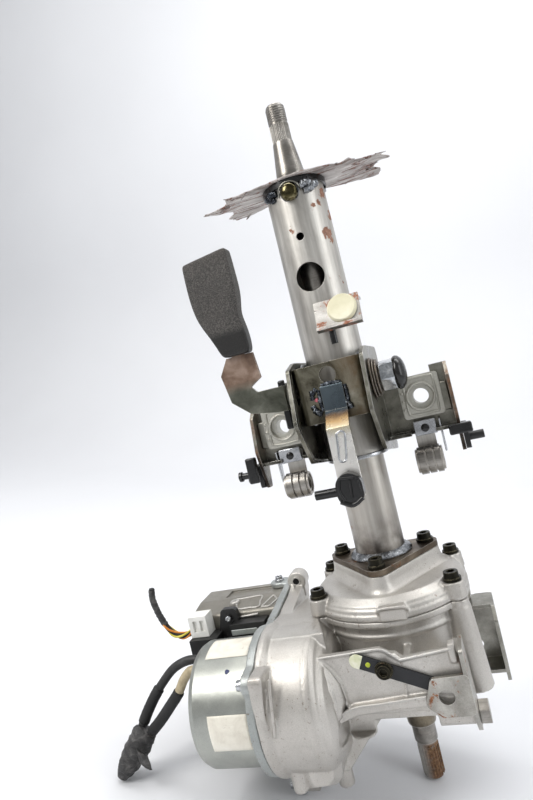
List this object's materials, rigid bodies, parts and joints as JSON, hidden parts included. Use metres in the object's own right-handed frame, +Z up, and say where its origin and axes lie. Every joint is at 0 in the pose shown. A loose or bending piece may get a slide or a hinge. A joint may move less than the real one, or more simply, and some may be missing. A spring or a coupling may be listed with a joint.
{
  "type": "power steering column",
  "caption": "Car steering column with a splined shaft in a telescoping tube, tilt lever and slotted bracket, worm gearbox, assist motor and control unit.",
  "frame": {"origin": "centre of the lower journal's lower edge, on the steering axis", "axes": "+Z up from the table it stands on; the steering axis leans 13.2 degrees towards -X, the motor is at -X and the brackets' car side is at +Y"},
  "size_m": [0.3247, 0.2042, 0.578],
  "materials": {
    "machined_steel": "turned, satin",
    "rusty_steel": "turned, with brown stains",
    "raw_steel": "drawn tube with lengthwise streaks and rust chips",
    "bracket_steel": "oily pressed sheet, worn bright at edges",
    "tinted_steel": "heat-tinted near welds",
    "zinc": "yellow zinc plate",
    "bright_zinc": "bright plated",
    "black_bolt": "black oxide",
    "die_cast": "as cast, stained",
    "light_cast": "as cast",
    "galvanised": "satin galvanised",
    "bearing_steel": "ground",
    "gear_nylon": "machined",
    "copper_core": "wound core",
    "magnet": "sintered",
    "black_plastic": "moulded",
    "brown_plastic": "moulded",
    "handle_plastic": "fine grain",
    "cream_plastic": "moulded",
    "white_plastic": "moulded",
    "black_rubber": "moulded",
    "dark_sheath": "cable sheath",
    "light_sheath": "cable sheath",
    "wire_orange": "wire insulation",
    "tape": "wound tape"
  },
  "bodies": {
    "column": {"sensor_coil": "brown_plastic", "upper_bearing": "bearing_steel", "input_bearing": "bearing_steel", "wheel_bearing": "bearing_steel", "output_bearing": "bearing_steel", "upper_tube": "raw_steel", "lower_tube": "raw_steel", "slide_bushes": "cream_plastic", "top_plate": "tinted_steel", "tube_collar": "bracket_steel", "lock_peg": "zinc", "tab_bracket": "tinted_steel", "tab_pad": "cream_plastic", "tilt_block": "tinted_steel", "tongue_arm": "tinted_steel", "column_clips": "black_plastic", "clamp_bolt": "black_bolt", "clamp_nut": "bright_zinc", "thrust_washers": "bracket_steel", "fixed_cam": "bracket_steel", "tube_flange": "tinted_steel", "torx_bolts": "black_bolt", "gear_cover": "die_cast", "gear_housing": "die_cast", "ground_strap": "black_plastic", "strap_screw": "black_bolt", "front_bracket": "bracket_steel", "pivot_bolts": "black_bolt", "worm_plug": "bracket_steel", "brush_holder": "brown_plastic", "magnets": "magnet", "drive_bearings": "bearing_steel", "end_plate": "light_cast", "motor_can": "galvanised", "motor_screws": "black_bolt", "ecu_case": "die_cast", "ecu_connector": "black_plastic", "signal_plug": "white_plastic", "cable_grommets": "black_rubber", "signal_wires": "wire_orange", "power_cable_dark": "dark_sheath", "power_cable_light": "light_sheath", "tape_stub": "tape"},
    "steering": {"upper_shaft": "machined_steel", "input_shaft": "machined_steel", "torsion_bar": "machined_steel", "output_shaft": "rusty_steel", "worm_wheel": "gear_nylon", "sensor_rings": "machined_steel"},
    "assist": {"worm": "machined_steel", "coupling": "brown_plastic", "motor_shaft": "machined_steel", "armature": "copper_core"},
    "upper_bracket": {"tilt_bracket": "bracket_steel", "capsules": "light_cast", "energy_straps": "raw_steel", "harness_clips": "black_plastic"},
    "lower_bracket": {"lower_bracket": "bracket_steel"},
    "lever": {"lever_arm": "bracket_steel", "lever_handle": "handle_plastic"}
  },
  "joints": [
    {"name": "steering_spin", "type": "hinge", "parent": "column", "child": "steering", "pos_m": [0, 0, 0], "axis": [-0.2284, 0, 0.9736], "continuous": true},
    {"name": "worm_spin", "type": "hinge", "parent": "column", "child": "assist", "pos_m": [-0.01827, -0.06225, 0.07789], "axis": [0.9736, 0, 0.2284], "continuous": true},
    {"name": "column_tilt", "type": "hinge", "parent": "column", "child": "upper_bracket", "pos_m": [-0.01576, 0.057, 0.06718], "axis": [0.9736, 0, 0.2284], "range_deg": [-2.5, 2.5]},
    {"name": "lower_bracket_tilt", "type": "hinge", "parent": "column", "child": "lower_bracket", "pos_m": [-0.01576, 0.057, 0.06718], "axis": [0.9736, 0, 0.2284], "range_deg": [-2.5, 2.5]},
    {"name": "tilt_lever", "type": "hinge", "parent": "column", "child": "lever", "pos_m": [-0.07125, -0.038, 0.30376], "axis": [0.9736, 0, 0.2284], "range_deg": [0, 65]}
  ],
  "couplings": [
    {"joint": "steering_spin", "follows": "worm_spin", "ratio": -0.04878},
    {"joint": "lower_bracket_tilt", "follows": "column_tilt", "ratio": 1}
  ]
}
